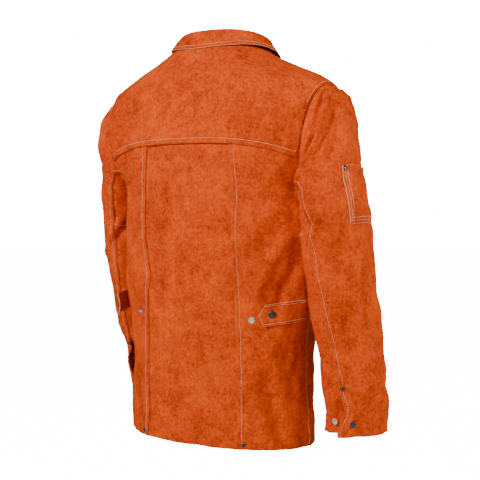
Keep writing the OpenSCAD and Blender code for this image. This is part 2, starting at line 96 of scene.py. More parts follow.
def sleeve_table(right):
    """Place along the sleeve, inner X and Z, outer X and Z, middle Y, half depth."""
    x = (256, 276, 285, 299, 315, 323, 330, 336, 339, 337)
    y = (0, -6, -14, -22, -28, -26, -20, -10, 0, 7, 12)
    away, up = 0, 0
    if not right:
        x = (247, 258, 274, 289, 304, 312, 303, 300, 300, 298)
        y = (0, 8, 18, 30, 44, 58, 74, 92, 110, 124, 138)
        away, up = 2, 24
    return np.array([
        [0, UNDERARM_X, -UNDERARM_DROP, SHOULDER_X, -SHOULDER_DROP, y[0], 72],
        [-1, 204 + away / 5, -273, x[0], -106, y[1], 75],
        [-2, 207 + away / 2, -280, x[1], -138, y[2], 76],
        [-3, 209 + away, -290, x[2], -190, y[3], 76],
        [-4, 210 + away, -306, x[3], -250, y[4], 75],
        [-5, 211 + away, -350, x[4], -320, y[5], 74],
        [-6, 213 + away, -420, x[5], -405, y[6], 71],
        [-7, 221 + away, -500, x[6], -496, y[7], 66],
        [-8, 229 + away, -570 + up / 2, x[7], -570 + up / 2, y[8], 61],
        [-9, 233 + away, -635 + up, x[8], -635 + up, y[9], 59],
        [-10, 235 + away, -698 + up, x[9], -698 + up, y[10], 56],
    ], float)


SLEEVES = {True: sleeve_table(True), False: sleeve_table(False)}


def smooth_at(table, key, column):
    """Value of a column at keys that fall from row to row, on a smooth curve."""
    key = np.asarray(key, float)
    row = np.clip(np.searchsorted(-table[:, 0], -key, side="right") - 1, 0, len(table) - 2)
    rise = np.array([
        (table[q, column] - table[p, column]) / (table[q, 0] - table[p, 0])
        for p, q in ((max(i - 1, 0), min(i + 1, len(table) - 1)) for i in range(len(table)))
    ])
    width = table[row + 1, 0] - table[row, 0]
    s = (key - table[row, 0]) / width
    return (
        table[row, column] * (1 + 2 * s) * (1 - s) ** 2
        + rise[row] * width * s * (1 - s) ** 2
        + table[row + 1, column] * s * s * (3 - 2 * s)
        + rise[row + 1] * width * s * s * (s - 1)
    )


def mix(a, b, s):
    return a + (b - a) * s


def ease(s):
    """Smooth step from 0 to 1."""
    s = np.clip(s, 0, 1)
    return s * s * (3 - 2 * s)


def signed_pow(x, p):
    return np.sign(x) * np.abs(x) ** p


def unit(v):
    return v / np.linalg.norm(v, axis=-1, keepdims=True)


def points(*columns):
    return np.stack(np.broadcast_arrays(*columns), -1).astype(float)


def sin_d(a):
    return np.sin(np.radians(a))


def cos_d(a):
    return np.cos(np.radians(a))


# ---- The body's surface: t is the angle from the middle of the back, z the level ----
def neck_z(t):
    return -NECK_DIP * (1 - cos_d(t)) / 2


def body_point(t, z):
    s = ease(-z / SHOULDER_DROP)
    return points(
        smooth_at(BODY, z, 1) * signed_pow(sin_d(t), 2 / SQUARENESS),
        smooth_at(BODY, z, 3) - smooth_at(BODY, z, 2) * signed_pow(cos_d(t), 2 / SQUARENESS),
        z + neck_z(t) * (1 - s),
    )


def body_normal(t, z):
    level = np.clip(z, -BODY_LENGTH + 3, -3)
    around = body_point(t + 2, z) - body_point(t - 2, z)
    up = body_point(t, level + 3) - body_point(t, level - 3)
    return unit(np.cross(around, up))


def angle_at(x, z):
    """Angle on the back at level z where X is x."""
    share = np.clip(x / smooth_at(BODY, z, 1), 0, 1)
    return np.degrees(np.arcsin(share ** (SQUARENESS / 2)))


def armhole_x(z):
    return UNDERARM_X + (z + UNDERARM_DROP) * math.tan(TILT)


def armhole_angle(z):
    return angle_at(armhole_x(z), z)


def front_angle(x, z):
    """Angle on the front at level z where X is x; it runs past 180 for a negative x."""
    return np.where(x < 0, 180 + angle_at(-x, z), 180 - angle_at(x, z))


def back_seam(z):
    below_yoke = np.clip((-z - YOKE_DROP) / (BODY_LENGTH - YOKE_DROP), 0, 1)
    return angle_at(BACK_SEAM_X + BACK_SEAM_FLARE * below_yoke, z)


def yoke_z(x):
    return -YOKE_DROP - YOKE_FALL * (np.abs(x) / 208) ** 2.6


def yoke_edge(t):
    """Level of the yoke's edge: across the back, up along the armhole, then over the front."""
    t = np.abs(t)
    lowest = 180 - armhole_angle(YOKE_FRONT_Z)
    share = np.clip((YOKE_FRONT_T - t) / (YOKE_FRONT_T - lowest), 0, 1)
    z = np.where(t <= 90, yoke_z(body_point(t, -YOKE_DROP)[..., 0]), YOKE_FRONT_Z * share)
    past = body_point(t, z)[..., 0] - armhole_x(z)
    low, high = z, np.full_like(z, -60.0)
    for _ in range(16):
        middle = (low + high) / 2
        outside = body_point(t, middle)[..., 0] > armhole_x(middle)
        low, high = np.where(outside, middle, low), np.where(outside, high, middle)
    return np.where(past > 0, (low + high) / 2, z)


# ---- A sleeve's surface: v is the place along it, q the angle round it, 90 on the outside ----
def sleeve_point(right, v, q):
    table = SLEEVES[right]
    k = -np.clip(v, 0, 10.2)
    middle_y = smooth_at(table, k, 5)
    inner = points(smooth_at(table, k, 1), middle_y, smooth_at(table, k, 2))
    outer = points(smooth_at(table, k, 3), middle_y, smooth_at(table, k, 4))
    depth = smooth_at(table, k, 6)
    s = signed_pow(sin_d(q), 2 / 2.1)
    c = signed_pow(cos_d(q), 2 / 2.1)
    m = (inner + outer) / 2 + (outer - inner) / 2 * s[..., None]
    m[..., 1] -= depth * c
    level = np.clip(m[..., 2], -UNDERARM_DROP, -SHOULDER_DROP)
    part = 1 - np.clip(armhole_x(level) / smooth_at(BODY, level, 1), 0, 1) ** SQUARENESS
    deep = smooth_at(BODY, level, 2) * np.clip(part, 0, 1) ** (1 / SQUARENESS)
    ring = m.copy()
    ring[..., 1] = smooth_at(BODY, level, 3) - np.sign(c) * deep
    return mix(ring, m, np.clip(v / 1.5, 0, 1)[..., None])


def sleeve_normal(right, v, q):
    around = sleeve_point(right, v, q + 4) - sleeve_point(right, v, q - 4)
    w = np.clip(v, 0.35, 9.9)
    along = sleeve_point(right, w - 0.1, q) - sleeve_point(right, w + 0.1, q)
    return unit(np.cross(around, along))


def back_line(v):
    return mix(-38, 12, np.clip(v / 10, 0, 1)) + 6 * sin_d(18 * v)


def front_line(v):
    return mix(212, 196, np.clip(v / 10, 0, 1))


# ---- Folds of the leather ----
def noise(x, y, seed=0):
    """Smooth gradient noise from -1 to 1 on a lattice with a step of 1."""
    ix, iy = np.floor(x).astype(np.int64), np.floor(y).astype(np.int64)
    fx, fy = x - ix, y - iy

    def corner(dx, dy):
        h = ((ix + dx) * 374761393 + (iy + dy) * 668265263 + seed * 974634777) & 0xFFFFFFFF
        h = ((h ^ (h >> 13)) * 1274126177) & 0xFFFFFFFF
        turn = (h ^ (h >> 16)) / 2**32 * 2 * np.pi
        return np.cos(turn) * (fx - dx) + np.sin(turn) * (fy - dy)

    sx, sy = fx**3 * (fx * (fx * 6 - 15) + 10), fy**3 * (fy * (fy * 6 - 15) + 10)
    return 1.5 * mix(mix(corner(0, 0), corner(1, 0), sx), mix(corner(0, 1), corner(1, 1), sx), sy)


def creases(x, y, table):
    """Height in mm of the folds listed as start, end, bow, half width and height."""
    total = np.zeros(np.broadcast(x, y).shape)
    for x0, y0, x1, y1, bow, width, height in table:
        dx, dy = x1 - x0, y1 - y0
        length = math.hypot(dx, dy)
        s = ((x - x0) * dx + (y - y0) * dy) / length**2
        away = ((y - y0) * dx - (x - x0) * dy) / length - bow * 4 * s * (1 - s)
        total += height * ease((s + 0.2) / 0.4) * ease((1.2 - s) / 0.4) * np.exp(-((away / width) ** 2))
    return total


# Angle from the middle of the back and level, both ends; bow, half width and height in mm.
BODY_CREASES = [
    (-95, -195, -190, -255, 6, 9, -3.5),
    (-80, -190, -178, -262, 6, 12, 2.5),
    (190, -349, 120, -470, -8, 16, 3.0),
    (218, -385, 170, -500, -6, 15, -3.0),
    (170, -330, 80, -400, 5, 18, -1.8),
    (-150, -330, -60, -470, 8, 20, -2.0),
    (-190, -420, -150, -620, 4, 16, 2.4),
    (60, -560, 200, -640, 6, 16, 1.8),
    (-40, -600, 40, -720, 4, 22, 2.0),
    (150, -600, 190, -735, 0, 16, -2.6),
    (-175, -640, -150, -736, 0, 14, -2.4),
    (40, -60, 190, -100, 4, 14, 1.6),
    (-40, -60, -190, -110, -4, 16, -1.6),
]


def body_folds(t, z):
    """How far the body's leather stands off its smooth shape, in mm."""
    x = 3.0 * t
    soft = 4.2 * noise(x / 110, z / 190, 3) + 3.0 * noise(x / 44, z / 80, 5) + 1.3 * noise(x / 21, z / 30, 8)
    hem = 5.0 * noise(x / 62, 0 * z, 11) * ease((-z - 580) / 158)
    away = (armhole_x(z) - np.abs(body_point(t, z)[..., 0])) * math.cos(TILT)
    near = np.where(z > -UNDERARM_DROP - 20, ease(away / 34), 1.0)
    return (soft + hem + 2.0 * creases(x, z, BODY_CREASES)) * near * ease(-z / 50) * settings().folds


# Distance round the sleeve from the back and along it, both ends; bow, half width, height.
RIGHT_CREASES = [
    (100, 55, 32, 158, 6, 8, 4.2),
    (32, 158, -60, 240, -4, 9, 4.6),
    (70, 43, 17, 122, 4, 10, -4.5),
    (17, 122, -50, 175, 0, 12, -6.0),
    (7, 338, -30, 398, 4, 8, -5.0),
    (16, 330, -14, 400, 6, 10, 3.4),
    (48, 300, 43, 520, 5, 13, 2.6),
    (86, 400, 78, 560, -4, 12, -2.4),
    (110, 120, 96, 250, 5, 14, 2.6),
    (66, 130, 60, 260, -3, 12, -2.2),
    (20, 560, 60, 640, 4, 12, 2.0),
    (-20, 610, -44, 690, 3, 8, -3.5),
    (140, 340, 130, 470, 6, 12, -2.6),
    (170, 330, 230, 400, 8, 12, 3.4),
    (180, 300, 240, 360, 6, 10, -4.0),
    (250, 300, 320, 350, 6, 9, -3.2),
]
LEFT_CREASES = [
    (60, 60, 10, 200, 6, 10, 3.4),
    (30, 60, -30, 190, 4, 10, -4.0),
    (-70, 330, 0, 400, 4, 9, -3.6),
    (-30, 350, 40, 430, 4, 10, 3.0),
    (30, 480, 50, 620, 4, 12, 2.4),
    (100, 200, 110, 380, 6, 14, -2.4),
    (170, 330, 230, 400, 8, 12, 3.0),
    (180, 300, 240, 360, 6, 10, -3.6),
]


def sleeve_folds(right, v, q):
    x, y = 1.2 * q, 72 * v
    shift = 0 if right else 40
    # The angle wraps, so the noise is read on a ring and the folds twice.
    ring_x, ring_y = 72 * cos_d(q), 72 * sin_d(q)
    soft = 3.0 * noise(ring_x / 62 + y / 120 + shift, ring_y / 62 - y / 90, 21)
    soft += 2.8 * noise(ring_x / 32 - y / 54 + shift, ring_y / 32 + y / 58, 22)
    soft += 1.2 * noise(ring_x / 15 + shift, ring_y / 15 + y / 24, 23)
    table = RIGHT_CREASES if right else LEFT_CREASES
    folds = creases(x, y, table) + creases(x - 432, y, table)
    return (soft + 2.2 * folds) * ease((v - 0.05) / 0.6) * settings().folds


def body_surface(places, offset, flip=False):
    """Points on the body's leather; places are angle, level and mm past the armhole's plane."""
    t, z, past = places[..., 0], places[..., 1], places[..., 2]
    folds = body_folds(-t if flip else t, z)
    p = body_point(t, z) + (offset + folds)[..., None] * body_normal(t, z)
    over = (np.abs(p[..., 0]) - armhole_x(p[..., 2])) * math.cos(TILT)
    room = 0.3 * np.maximum(-UNDERARM_DROP - p[..., 2], 0)
    back = np.where(p[..., 2] < -UNDERARM_DROP - 60, 0, np.maximum(over - room, 0))
    p[..., 0] += (past - back) * np.sign(p[..., 0]) * OUTWARD[0]
    p[..., 2] += (past - back) * OUTWARD[2]
    return leaning(flipped(p) if flip else p)


def leaning(p):
    """The right shoulder sits a little higher than the left one, and the collar leans to it."""
    slope = np.where(p[..., 0] > 0, 0.03, 0.014)
    lift = slope * p[..., 0] * ease((p[..., 2] + 310) / 240)
    lean = 0.4 * np.maximum(p[..., 2] + 3, 0)
    return p + points(lean, 0, lift)


def flipped(p):
    return p * np.array([-1.0, 1.0, 1.0])


def sleeve_surface(places, offset, right):
    """Points on a sleeve's leather; places are the angle round it and the place along it."""
    q, v = places[..., 0], places[..., 1]
    stand = offset + sleeve_folds(right, v, q)
    p = sleeve_point(right, v, q) + stand[..., None] * sleeve_normal(right, v, q)
    over = ((p - np.array([UNDERARM_X, 0, -UNDERARM_DROP])) * OUTWARD).sum(-1)
    least = np.where(v > 0, np.minimum(0.8, 12 * v), 72 * v)
    push = np.where(v > 0.02, np.maximum(least - over, 0), least - over)
    p = p + (0.8 * np.clip(v / 0.3, 0, 1) + push)[..., None] * OUTWARD
    return leaning(p if right else flipped(p))


# ---- Meshes ----
def collection():
    found = bpy.data.collections.get("Jacket")
    if found is None:
        found = bpy.data.collections.new("Jacket")
        bpy.context.scene.collection.children.link(found)
    return found


def mesh_object(name, vertices, faces, material, smooth=True):
    """A new object at the origin from points in metres."""
    mesh = bpy.data.meshes.new(name)
    mesh.from_pydata(vertices.tolist(), [], faces)
    mesh.update()
    mesh.polygons.foreach_set("use_smooth", [smooth] * len(mesh.polygons))
    mesh.materials.append(material)
    piece = bpy.data.objects.new(name, mesh)
    collection().objects.link(piece)
    return piece


def keep_values(piece, name, kind, values):
    attribute = piece.data.attributes.new(name, kind, "POINT")
    key = "vector" if kind == "FLOAT_VECTOR" else "value"
    attribute.data.foreach_set(key, np.asarray(values, np.float32).ravel())


def run_lengths(p, axis):
    """Distance of each grid point from the first one along that axis."""
    steps = np.linalg.norm(np.diff(p, axis=axis), axis=-1)
    zero = np.zeros_like(np.take(steps, [0], axis=axis))
    return np.concatenate([zero, np.cumsum(steps, axis=axis)], axis=axis)


def side_distances(p, slanting=False):
    """Distance of each grid point from each of the four sides: top, bottom, first, last.

    The distances are measured along the grid, except from a slanting bottom side.
    """
    down, along = run_lengths(p, 0), run_lengths(p, 1)
    bottom = down[-1:] - down
    if slanting:
        side = np.concatenate([mix(p[-1, :-1], p[-1, 1:], s) for s in (0, 0.25, 0.5, 0.75)])
        for row in range(len(p)):
            straight = np.linalg.norm(p[row][:, None] - side[None], axis=-1).min(1)
            bottom[row] = np.minimum(bottom[row], straight)
        bottom[-1] = 0
    return {"top": down, "bottom": bottom, "first": along, "last": along[:, -1:] - along}


SEAMS = {}


def leather(
    name, surface, places, offset, material, sewn=(), inset=8.0, lift=0.7, thick=LEATHER, seed=0, raw=0.12,
    slanting=False, second=0.0,
):
    """A cut sheet of leather over a grid of places, closed, with its raw edge and its seams.

    sewn lists the sides with a row of stitches inset mm from the edge, where the edge lifts
    a little between the stitches. raw is how pale the cut edge is. The seams' lines are kept for
    the stitching; second is the distance of another row of stitches from the first.
    """
    rows, cols = places.shape[:2]
    offset = np.broadcast_to(np.asarray(offset, float), (rows, cols))
    far = side_distances(surface(places, offset + thick), slanting)
    edge = np.minimum.reduce(list(far.values()))
    seam = np.full((rows, cols), 99.0)
    for side in sewn:
        seam = np.minimum(seam, far[side])
    wave = noise(far["first"] / 19 + seed * 3.7, far["top"] / 19, seed)
    rise = lift * (0.55 + 0.9 * wave) * (1 - ease(seam / (0.8 * inset)))
    rise = rise + 0.5 * lift * np.exp(-(((seam - 1.9 * inset) / 7) ** 2)) * wave
    outer = surface(places, offset + thick + rise)
    inner = surface(places, offset + rise)
    # The cut edge wanders a little, as one cut by hand with shears does.
    for cut, inward in (
        ((0, slice(None)), (1, slice(None))), ((-1, slice(None)), (-2, slice(None))),
        ((slice(None), 0), (slice(None), 1)), ((slice(None), -1), (slice(None), -2)),
    ):
        away = unit(outer[cut] - outer[inward])
        run = np.concatenate([[0], np.cumsum(np.linalg.norm(np.diff(outer[cut], axis=0), axis=-1))])
        step = 0.45 * noise(run / 23 + seed, run * 0 + seed, 31) + 0.2 * noise(run / 7, run * 0, 33)
        for grid in (outer, inner):
            grid[cut] = grid[cut] + away * step[:, None]
    loop = (
        [(0, c) for c in range(cols)] + [(r, cols - 1) for r in range(1, rows)]
        + [(rows - 1, c) for c in range(cols - 2, -1, -1)] + [(r, 0) for r in range(rows - 2, 0, -1)]
    )
    at = np.array(loop)
    inside = np.clip(at, 1, [rows - 2, cols - 2])
    middle = (outer[at[:, 0], at[:, 1]] + inner[at[:, 0], at[:, 1]]) / 2
    away = unit(outer[at[:, 0], at[:, 1]] - outer[inside[:, 0], inside[:, 1]])
    rim = middle + away * 0.25 * thick
    n = rows * cols
    index = np.arange(n).reshape(rows, cols)
    quads = np.stack([index[:-1, :-1], index[:-1, 1:], index[1:, 1:], index[1:, :-1]], -1).reshape(-1, 4)
    ring = index[at[:, 0], at[:, 1]]
    following = np.roll(ring, -1)
    rim_index = 2 * n + np.arange(len(ring))
    rim_next = np.roll(rim_index, -1)
    faces = np.concatenate([
        quads, quads[:, ::-1] + n,
        np.stack([following, ring, rim_index, rim_next], -1),
        np.stack([rim_next, rim_index, ring + n, following + n], -1),
    ])
    r, c = rows // 2, cols // 2
    across = np.cross(outer[r, c + 1] - outer[r, c], outer[r + 1, c] - outer[r, c])
    if np.dot(across, outer[r, c] - inner[r, c]) < 0:
        faces = faces[:, ::-1]
    vertices = np.concatenate([outer.reshape(-1, 3), inner.reshape(-1, 3), rim]) * 0.001
    piece = mesh_object(name, vertices, faces.tolist(), material)
    flat = outer + 97.0 * seed
    rest = np.concatenate([flat.reshape(-1, 3), flat.reshape(-1, 3) + 31, flat[at[:, 0], at[:, 1]]])
    keep_values(piece, "rest", "FLOAT_VECTOR", rest)
    keep_values(piece, "cut_edge", "FLOAT", np.concatenate([edge.ravel(), edge.ravel(), rim_index * 0 - 1]))
    keep_values(piece, "raw", "FLOAT", np.full(len(vertices), raw))
    far_from_seam = np.full(n + len(ring), 99.0)
    keep_values(piece, "seam", "FLOAT", np.concatenate([abs(seam - inset).ravel(), far_from_seam]))
    normal = unit(outer - inner)
    lines = []
    for side in sewn:
        grids = (outer, normal)
        if side not in ("first", "last"):
            grids = (outer.transpose(1, 0, 2), normal.transpose(1, 0, 2))
        reach = far[side] if side in ("first", "last") else far[side].T
        lines.append(level_line(grids, reach, inset))
        if second:
            lines.append(level_line(grids, reach, inset + second))
    SEAMS[name] = lines
    return piece


def level_line(grids, reach, distance):
    """Points and normals where the rows of a grid are that far from their side."""
    found = []
    for i in range(len(reach)):
        order = np.argsort(reach[i])
        if reach[i][order[-1]] < distance:
            continue
        row = [np.interp(distance, reach[i][order], g[i][order, k]) for g in grids for k in range(3)]
        found.append(row)
    found = np.array(found)
    return found[:, :3], unit(found[:, 3:])


# ---- Stitches and fastenings ----
def stitch_shape():
    """One stitch lying along X, 1 long, as points and faces: a rounded thread with six sides."""
    rings = [(-0.5, 0.35), (-0.36, 0.9), (0.0, 1.0), (0.36, 0.9), (0.5, 0.35)]
    round_points = [(0, math.cos(k * math.pi / 3), math.sin(k * math.pi / 3)) for k in range(6)]
    shape = np.array([(x, y * r, z * r) for x, r in rings for _, y, z in round_points])
    faces = [
        (6 * i + k, 6 * i + (k + 1) % 6, 6 * i + 6 + (k + 1) % 6, 6 * i + 6 + k)
        for i in range(len(rings) - 1) for k in range(6)
    ]
    ends = [tuple(range(5, -1, -1)), tuple(range(6 * len(rings) - 6, 6 * len(rings)))]
    return shape, faces, ends


def stitches(name, lines, material):
    """Rows of stitches along lines of points and normals, as one piece."""
    look = settings()
    shape, sides, ends = stitch_shape()
    vertices, faces, count = [], [], 0
    for line, normal in lines:
        run = np.concatenate([[0], np.cumsum(np.linalg.norm(np.diff(line, axis=0), axis=-1))])
        places = np.arange(3, run[-1] - 3, look.stitch_pitch)
        half = 0.36 * look.stitch_pitch

        def at(s, grid):
            return np.stack([np.interp(s, run, grid[:, k]) for k in range(3)], -1)

        middle, start, end = at(places, line), at(places - half, line), at(places + half, line)
        along = unit(end - start)
        out = unit(at(places, normal))
        across = unit(np.cross(out, along))
        out = np.cross(along, across)
        long = np.linalg.norm(end - start, axis=-1)
        radius = look.thread / 2
        block = (
            middle[:, None]
            + along[:, None] * (shape[:, 0] * 1.08)[None, :, None] * long[:, None, None]
            + across[:, None] * (shape[:, 1] * radius)[None, :, None]
            + out[:, None] * (shape[:, 2] * radius + 0.6 * radius)[None, :, None]
        )
        vertices.append(block.reshape(-1, 3))
        for i in range(len(places)):
            base = count + i * len(shape)
            faces += [tuple(base + k for k in face) for face in sides + ends]
        count += len(places) * len(shape)
    return mesh_object(name, np.concatenate(vertices) * 0.001, faces, material)


def turned_piece(name, rings, material):
    """A turned piece on the plane z = 0 from (radius, height) rings in mm, as one closed mesh."""
    bpy.ops.object.select_all(action="DESELECT")
    radius, height = rings[0]
    bpy.ops.mesh.primitive_circle_add(vertices=40, radius=radius * 0.001, fill_type="NGON")
    piece = bpy.context.object
    piece.name = name
    bpy.ops.object.mode_set(mode="EDIT")
    bpy.ops.mesh.select_all(action="SELECT")
    for next_radius, next_height in rings[1:]:
        rise = (next_height - height) * 0.001
        bpy.ops.mesh.extrude_region_move(TRANSFORM_OT_translate={"value": (0, 0, rise)})
        bpy.ops.transform.resize(value=(next_radius / radius, next_radius / radius, 1))
        radius, height = next_radius, next_height
    bpy.ops.mesh.select_all(action="SELECT")
    bpy.ops.mesh.normals_make_consistent(inside=False)
    bpy.ops.object.mode_set(mode="OBJECT")
    bpy.ops.object.shade_smooth_by_angle(angle=math.radians(50))
    piece.data.materials.clear()
    piece.data.materials.append(material)
    return piece


CAP_RINGS = [
    (5.8, 0), (6.7, 0.4), (6.8, 1.0), (6.5, 1.7), (5.6, 2.2), (4.6, 2.35), (4.2, 2.15), (3.7, 2.25),
    (2.6, 2.7), (1.2, 2.9), (0.2, 2.95),
]
STUD_RINGS = [
    (5.3, 0), (5.9, 0.3), (5.8, 0.8), (5.1, 1.05), (3.9, 0.85), (3.1, 0.95), (2.4, 1.4), (2.3, 2.2),
    (2.6, 2.7), (2.4, 3.1), (1.7, 3.2), (1.4, 2.5), (0.2, 2.3),
]
RIVET_RINGS = [(4.2, 0), (4.4, 0.5), (4.0, 1.1), (3.0, 1.6), (1.6, 1.85), (0.2, 1.9)]


def spot(surface, place, offset):
    """Point in mm and normal of a surface at one place, on top of that offset."""
    one = np.array([[place]], float)
    p = surface(one, np.array([[offset]]))[0, 0]
    return p, unit(surface(one, np.array([[offset + 1.0]]))[0, 0] - p)


def set_on(name, model, spots):
    """Copies of a turned piece, each standing on one of the spots, joined as one piece."""
    whole = bmesh.new()
    for p, n in spots:
        turn = Vector((0, 0, 1)).rotation_difference(Vector(n)).to_matrix().to_4x4()
        copy = model.data.copy()
        copy.transform(Matrix.Translation(Vector(p) * 0.001) @ turn)
        whole.from_mesh(copy)
        bpy.data.meshes.remove(copy)
    mesh = bpy.data.meshes.new(name)
    whole.to_mesh(mesh)
    whole.free()
    mesh.materials.append(model.data.materials[0])
    mesh.polygons.foreach_set("use_smooth", [True] * len(mesh.polygons))
    piece = bpy.data.objects.new(name, mesh)
    collection().objects.link(piece)
    return piece


# ---- Materials ----
class Socket:
    """A shader socket with arithmetic: each operator adds the node that works it out."""

    def __init__(self, graph, socket):
        self.graph, self.socket = graph, socket

    def maths(self, operation, *others):
        settings_of = {"operation": operation}
        return self.graph.node("ShaderNodeMath", settings_of, dict(enumerate((self, *others))))

    def __add__(self, other):
        return self.maths("ADD", other)

    def __sub__(self, other):
        return self.maths("SUBTRACT", other)

    def __mul__(self, other):
        return self.maths("MULTIPLY", other)

    def __truediv__(self, other):
        return self.maths("DIVIDE", other)

    def __pow__(self, other):
        return self.maths("POWER", other)

    def __rsub__(self, other):
        return (self * -1.0) + other

    def __rtruediv__(self, other):
        return (self ** -1.0) * other

    __radd__ = __add__
    __rmul__ = __mul__

    def ramp(self, low, high):
        """0 where the value is low, 1 where it is high, smooth between."""
        return self.graph.node(
            "ShaderNodeMapRange", {"interpolation_type": "SMOOTHSTEP"},
            {"Value": self, "From Min": low, "From Max": high},
        )


class Graph:
    """The node tree of a new material."""

    def __init__(self, name):
        self.material = bpy.data.materials.new(name)
        self.material.use_nodes = True
        self.tree = self.material.node_tree
        self.shader = next(n for n in self.tree.nodes if n.type == "BSDF_PRINCIPLED")

    def node(self, kind, node_settings=None, inputs=None, output=0):
        made = self.tree.nodes.new(kind)
        for key, value in (node_settings or {}).items():
            setattr(made, key, value)
        for key, value in (inputs or {}).items():
            self.feed(made.inputs[key], value)
        return Socket(self, made.outputs[output])

    def feed(self, target, value):
        if isinstance(value, Socket):
            self.tree.links.new(value.socket, target)
        else:
            target.default_value = value

    def attribute(self, name, output="Fac"):
        return self.node("ShaderNodeAttribute", {"attribute_name": name}, output=output)

    def noise(self, vector, size, detail=3.0, rough=0.55, warp=0.0):
        """Noise from about 0 to 1 whose lumps are size mm across."""
        return self.node(
            "ShaderNodeTexNoise", None,
            {"Vector": vector, "Scale": 1.0 / size, "Detail": detail, "Roughness": rough, "Distortion": warp},
        )

    def mix(self, a, b, factor):
        return self.node("ShaderNodeMix", {"data_type": "RGBA"}, {0: factor, 6: a, 7: b}, output=2)

    def bump(self, height, distance, strength=1.0, under=None):
        inputs = {"Height": height, "Distance": distance, "Strength": strength}
        if under is not None:
            inputs["Normal"] = under
        return self.node("ShaderNodeBump", None, inputs)


def linear(red, green, blue):
    """An sRGB colour of 0 to 255 as linear RGBA."""
    def one(c):
        c = c / 255
        return c / 12.92 if c <= 0.04045 else ((c + 0.055) / 1.055) ** 2.4

    return (one(red), one(green), one(blue), 1.0)


def suede(name, light, middle, dark, raw):
    """Napped split leather: clouds and brushed flecks of colour, a felted grain, a pale cut edge, and painted
    shade along the stitch lines.
    """
    g = Graph(name)
    rest = g.attribute("rest", "Vector")
    clouds = g.noise(rest, 90, 3, 0.5)
    patches = g.noise(rest, 21, 3, 0.5)
    flecks = g.noise(rest, 5.5, 4, 0.75)
    nap = g.noise(rest, 1.4, 3, 0.7)
    scuffs = g.noise(rest, 9, 5, 0.7, 0.4)
    tone = clouds * 0.5 + patches * 0.55 + flecks * 1.2 + nap * 0.9 - 1.575
    deep = g.mix(middle, dark, (0.0 - tone).ramp(-0.02, 0.4))
    colour = g.mix(deep, light, tone.ramp(-0.06, 0.26))
    colour = g.mix(colour, light, scuffs.ramp(0.58, 0.8) * 0.3)
    seam = g.attribute("seam")
    stitch_groove_and_painted_shade = 1.0 - seam.ramp(0.3, 2.6)
    # Painted shade: the colour is darkened in the groove along each stitch line, where shade would fall; the
    # same groove is also bumped.
    colour = g.mix(colour, dark, stitch_groove_and_painted_shade * 0.35)
    cut = g.attribute("cut_edge")
    pale = (1.0 - cut.ramp(-0.2, 0.9)) * g.noise(rest, 2.2, 3).ramp(0.25, 0.6) * g.attribute("raw")
    colour = g.mix(colour, raw, pale)
    g.feed(g.shader.inputs["Base Color"], colour)
    g.feed(g.shader.inputs["Roughness"], 0.86 + patches * 0.14)
    fibres = nap * 0.5 + flecks * 1.1 + patches * 1.6
    fine = g.bump(fibres, 0.0014, 0.6)
    g.feed(g.shader.inputs["Normal"], g.bump(stitch_groove_and_painted_shade * -1.0, 0.0007, 0.7, fine))
    g.shader.inputs["Specular IOR Level"].default_value = 0.08
    g.shader.inputs["Sheen Weight"].default_value = 0.1
    g.shader.inputs["Sheen Roughness"].default_value = 0.45
    g.shader.inputs["Sheen Tint"].default_value = linear(255, 100, 20)
    return g.material


def thread_material():
    g = Graph("thread")
    where = g.node("ShaderNodeTexCoord", output="Object")
    worn = g.noise(where, 0.013, 3).ramp(0.35, 0.7)
    g.feed(g.shader.inputs["Base Color"], g.mix(linear(244, 190, 146), linear(222, 140, 90), worn * 0.7))
    g.feed(g.shader.inputs["Roughness"], 0.7 + worn * 0.2)
    twist = g.noise(where, 0.0005, 2)
    g.feed(g.shader.inputs["Normal"], g.bump(twist, 0.0002, 0.4))
    return g.material


def lacquer_material():
    g = Graph("black_lacquer")
    where = g.node("ShaderNodeTexCoord", output="Object")
    wear = g.noise(where, 0.002, 4, 0.6)
    g.feed(g.shader.inputs["Base Color"], g.mix(linear(22, 23, 27), linear(48, 48, 52), wear.ramp(0.5, 0.8)))
    g.feed(g.shader.inputs["Roughness"], 0.26 + wear * 0.2)
    g.feed(g.shader.inputs["Normal"], g.bump(g.noise(where, 0.0006, 2), 0.00005, 0.3))
    g.shader.inputs["Specular IOR Level"].default_value = 0.6
    return g.material


def nickel_material():
    g = Graph("nickel")
    where = g.node("ShaderNodeTexCoord", output="Object")
    wear = g.noise(where, 0.0015, 4, 0.65)
    colour = g.mix(linear(214, 213, 210), linear(150, 146, 140), wear.ramp(0.45, 0.8))
    g.feed(g.shader.inputs["Base Color"], colour)
    g.feed(g.shader.inputs["Metallic"], 1.0 - wear * 0.1)
    g.feed(g.shader.inputs["Roughness"], 0.16 + wear * 0.22)
    return g.material


def floor_material():
    g = Graph("floor")
    where = g.node("ShaderNodeTexCoord", output="Object")
    colour = g.mix((0.9, 0.9, 0.9, 1), (0.87, 0.87, 0.87, 1), g.noise(where, 0.4, 3))
    g.feed(g.shader.inputs["Base Color"], colour)
    g.feed(g.shader.inputs["Roughness"], 0.9)
    glow = g.node("ShaderNodeLightPath", output="Is Camera Ray")
    g.feed(g.shader.inputs["Emission Color"], g.mix((0, 0, 0, 1), (1, 1, 1, 1), glow))
    g.shader.inputs["Emission Strength"].default_value = 15.5
    return g.material


MAKERS = {
    "suede": lambda: suede(
        "suede", linear(212, 78, 8), linear(186, 58, 6), linear(128, 36, 8), linear(216, 160, 124)
    ),
    "suede_facing": lambda: suede(
        "suede_facing", linear(178, 80, 32), linear(150, 58, 20), linear(116, 38, 12), linear(200, 150, 120)
    ),
    "thread": thread_material,
    "black_cap": lacquer_material,
    "nickel_stud": nickel_material,
    "floor": floor_material,
}
MATERIALS = {}


def material(name):
    if name not in MATERIALS:
        MATERIALS[name] = MAKERS[name]()
    return MATERIALS[name]


# ---- Joining the pieces to the frame ----
JOINTS = {joint["name"]: joint for joint in frame["record"]["behaviour"]["joints"]}


